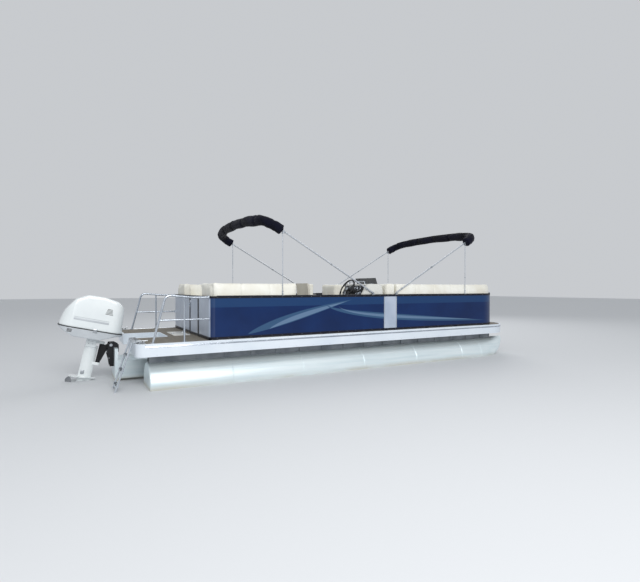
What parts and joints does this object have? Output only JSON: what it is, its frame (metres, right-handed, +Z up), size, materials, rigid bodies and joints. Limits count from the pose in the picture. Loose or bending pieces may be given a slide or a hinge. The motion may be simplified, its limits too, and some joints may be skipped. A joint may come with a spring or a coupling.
{
  "type": "pontoon boat",
  "caption": "Two-tube pontoon boat with a fenced deck, lounges, side helm, folded sun tops carried in boots, a boarding ladder and a tilting outboard.",
  "frame": {"origin": "middle of the boat's length and beam, on the plane that the keels stand on", "axes": "+X to the bow, +Y to port, +Z up"},
  "size_m": [8.4498, 2.6716, 2.9046],
  "materials": {
    "tube": "brushed, bright",
    "frame": "mill finish",
    "deck": "woven vinyl",
    "trim": "satin, pale",
    "rail": "satin, near black",
    "panel": "gloss navy",
    "accent": "gloss, pale",
    "handrail": "polished",
    "seat_base": "moulded",
    "upholstery": "grained vinyl",
    "console": "moulded",
    "screen": "tinted",
    "wheel": "soft grip",
    "chair_shell": "moulded",
    "pedestal": "anodised",
    "fitting": "brushed",
    "ladder": "polished",
    "top_tube": "anodised",
    "boot": "acrylic canvas",
    "bracket": "satin black",
    "motor_white": "gloss",
    "motor_grey": "satin",
    "engine": "plain",
    "propeller": "polished"
  },
  "bodies": {
    "hull": {"tube_port": "tube", "tube_starboard": "tube", "risers": "frame", "crossmembers": "frame", "motor_pod": "tube", "deck": "deck", "deck_trim": "trim", "fence_starboard": "rail", "fence_port": "rail", "fence_bow": "rail", "fence_stern": "rail", "side_panels": "panel", "bow_panels": "panel", "stern_panels": "accent", "accent_panels": "accent", "stern_handrails": "handrail", "bow_lounge_starboard_base": "seat_base", "bow_lounge_starboard_cushions": "upholstery", "bow_lounge_port_base": "seat_base", "bow_lounge_port_cushions": "upholstery", "aft_lounge_starboard_base": "seat_base", "aft_lounge_starboard_cushions": "upholstery", "aft_lounge_port_base": "seat_base", "aft_lounge_port_cushions": "upholstery", "helm_console": "console", "windscreen": "screen", "chair_pedestal": "pedestal", "deck_fittings": "fitting", "rail_mounts": "fitting", "clamp_bracket": "bracket", "tilt_cylinder": "bracket"},
    "motor_swivel": {"swivel_bracket": "bracket"},
    "tilt_rod": {"tilt_rod": "propeller"},
    "motor": {"motor_leg": "motor_white", "motor_cowl": "motor_white", "lower_cowl": "motor_grey", "powerhead": "engine"},
    "propeller": {"propeller": "propeller"},
    "steering_wheel": {"steering_wheel": "wheel"},
    "throttle": {"throttle_lever": "wheel"},
    "chair": {"captains_chair": "chair_shell", "chair_pads": "upholstery"},
    "bow_gate": {"bow_gate": "rail", "bow_gate_panel": "panel"},
    "stern_gate": {"stern_gate": "rail", "stern_gate_panel": "accent"},
    "side_gate": {"side_gate": "rail", "side_gate_panel": "panel"},
    "ladder": {"ladder": "ladder"},
    "aft_top": {"aft_top_frame": "top_tube", "aft_top_boot": "boot"},
    "bow_top": {"bow_top_frame": "top_tube", "bow_top_boot": "boot"},
    "aft_top_struts": {"aft_top_struts": "top_tube"},
    "bow_top_struts": {"bow_top_struts": "top_tube"}
  },
  "joints": [
    {"name": "motor_tilt", "type": "hinge", "parent": "hull", "child": "motor_swivel", "pos_m": [-3.5151, 0, 0.82], "axis": [0, 1, 0], "range_deg": [-17, 52]},
    {"name": "motor_steer", "type": "hinge", "parent": "motor_swivel", "child": "motor", "pos_m": [-3.63203, 0, 0.84699], "axis": [0.225, 0, 0.9744], "range_deg": [-30, 30]},
    {"name": "propeller_spin", "type": "hinge", "parent": "motor", "child": "propeller", "pos_m": [-4.11793, 0, 0.21818], "axis": [0.9744, 0, -0.225], "continuous": true},
    {"name": "tilt_rod_slide", "type": "slide", "parent": "hull", "child": "tilt_rod", "axis": [-0.2588, 0, 0.9659], "range_m": [-0.05, 0.075]},
    {"name": "wheel_turn", "type": "hinge", "parent": "hull", "child": "steering_wheel", "pos_m": [0.4349, -0.8, 1.635], "axis": [-0.8603, 0, 0.5098], "range_deg": [-680, 680]},
    {"name": "throttle_turn", "type": "hinge", "parent": "hull", "child": "throttle", "pos_m": [0.5649, -0.482, 1.6], "axis": [0, 1, 0], "range_deg": [-60, 60]},
    {"name": "chair_swivel", "type": "hinge", "parent": "hull", "child": "chair", "pos_m": [-0.2551, -0.74, 1.25], "axis": [0, 0, 1], "range_deg": [-180, 180]},
    {"name": "bow_gate_hinge", "type": "hinge", "parent": "hull", "child": "bow_gate", "pos_m": [3.8859, 0.33, 1.26], "axis": [0, 0, -1], "range_deg": [0, 90]},
    {"name": "stern_gate_hinge", "type": "hinge", "parent": "hull", "child": "stern_gate", "pos_m": [-2.2561, -0.585, 1.26], "axis": [0, 0, -1], "range_deg": [0, 90]},
    {"name": "side_gate_hinge", "type": "hinge", "parent": "hull", "child": "side_gate", "pos_m": [0.1799, 1.229, 1.26], "axis": [0, 0, -1], "range_deg": [0, 90]},
    {"name": "ladder_fold", "type": "hinge", "parent": "hull", "child": "ladder", "pos_m": [-3.3171, 0, 0.972], "axis": [0, 1, 0], "range_deg": [0, 250]},
    {"name": "aft_top_raise", "type": "hinge", "parent": "hull", "child": "aft_top", "pos_m": [0.6049, 0, 1.616], "axis": [0, 1, 0], "range_deg": [0, 60]},
    {"name": "aft_top_strut_hinge", "type": "hinge", "parent": "aft_top", "child": "aft_top_struts", "pos_m": [-1.13289, 0, 2.56234], "axis": [0, 1, 0], "range_deg": [-60, 0]},
    {"name": "bow_top_raise", "type": "hinge", "parent": "hull", "child": "bow_top", "pos_m": [1.1249, 0, 1.616], "axis": [0, -1, 0], "range_deg": [0, 60]},
    {"name": "bow_top_strut_hinge", "type": "hinge", "parent": "bow_top", "child": "bow_top_struts", "pos_m": [2.86269, 0, 2.56234], "axis": [0, -1, 0], "range_deg": [-60, 0]}
  ],
  "couplings": [
    {"joint": "tilt_rod_slide", "follows": "motor_tilt", "m_per_rad": 0.07163},
    {"joint": "wheel_turn", "follows": "motor_steer", "ratio": -22.5},
    {"joint": "aft_top_strut_hinge", "follows": "aft_top_raise", "ratio": -1},
    {"joint": "bow_top_strut_hinge", "follows": "bow_top_raise", "ratio": -1}
  ]
}
